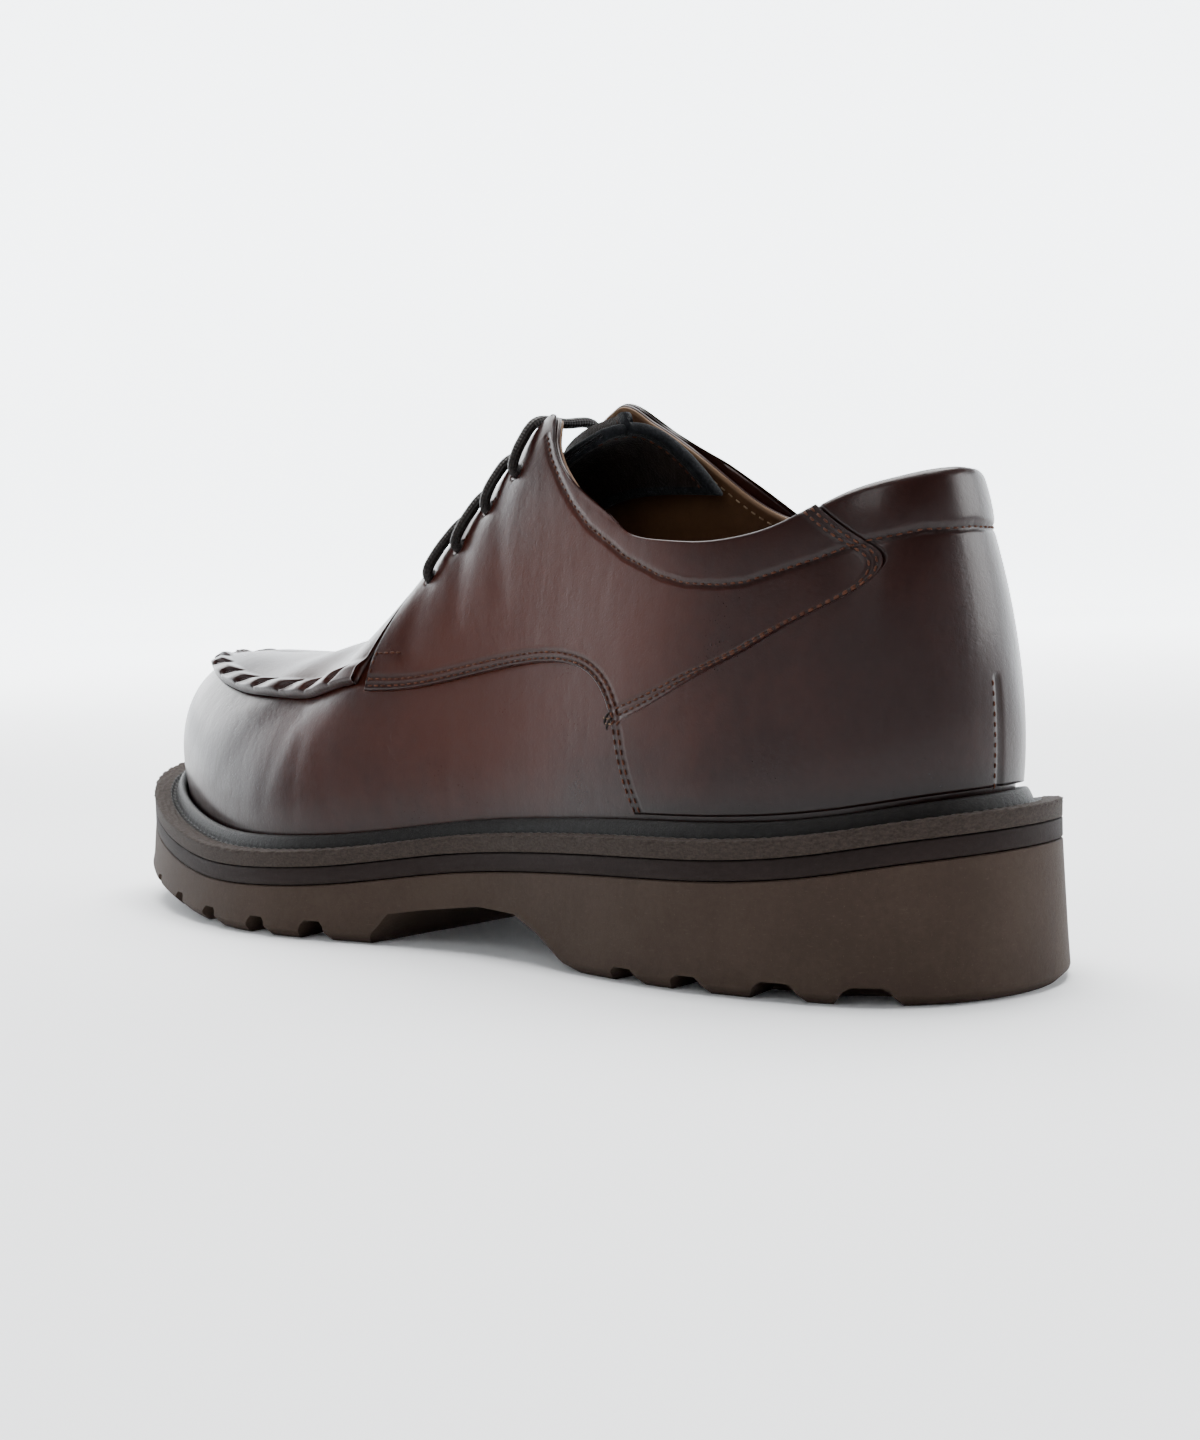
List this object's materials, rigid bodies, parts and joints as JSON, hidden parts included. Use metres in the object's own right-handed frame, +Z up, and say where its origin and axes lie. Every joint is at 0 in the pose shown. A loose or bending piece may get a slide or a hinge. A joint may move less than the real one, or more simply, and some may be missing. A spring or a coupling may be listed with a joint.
{
  "type": "apron toe derby shoe",
  "caption": "Left derby shoe with a puckered apron toe, open quarters laced over a tongue, a storm welt and a thick lugged sole with a cut-out arch.",
  "frame": {"origin": "centre of the sole's footprint on the ground", "axes": "-Y towards the toe, +X towards the little toe side, +Z up"},
  "size_m": [0.1097, 0.3026, 0.1332],
  "materials": {
    "outsole_rubber": "matte, finely speckled",
    "midsole_rubber": "matte",
    "welt": "satin",
    "upper_leather": "polished",
    "lining_leather": "matte",
    "tongue_suede": "suede edge",
    "lace_cord": "waxed"
  },
  "bodies": {
    "root": {"outsole": "outsole_rubber", "midsole": "midsole_rubber", "welt": "welt", "insole": "lining_leather", "upper": "upper_leather", "apron": "upper_leather", "quarter_lateral": "upper_leather", "quarter_medial": "upper_leather", "heel_counter": "upper_leather", "tongue": "tongue_suede", "lace_bar_1": "lace_cord", "lace_bar_2": "lace_cord", "lace_bar_3": "lace_cord", "lace_bar_4": "lace_cord"}
  },
  "joints": []
}
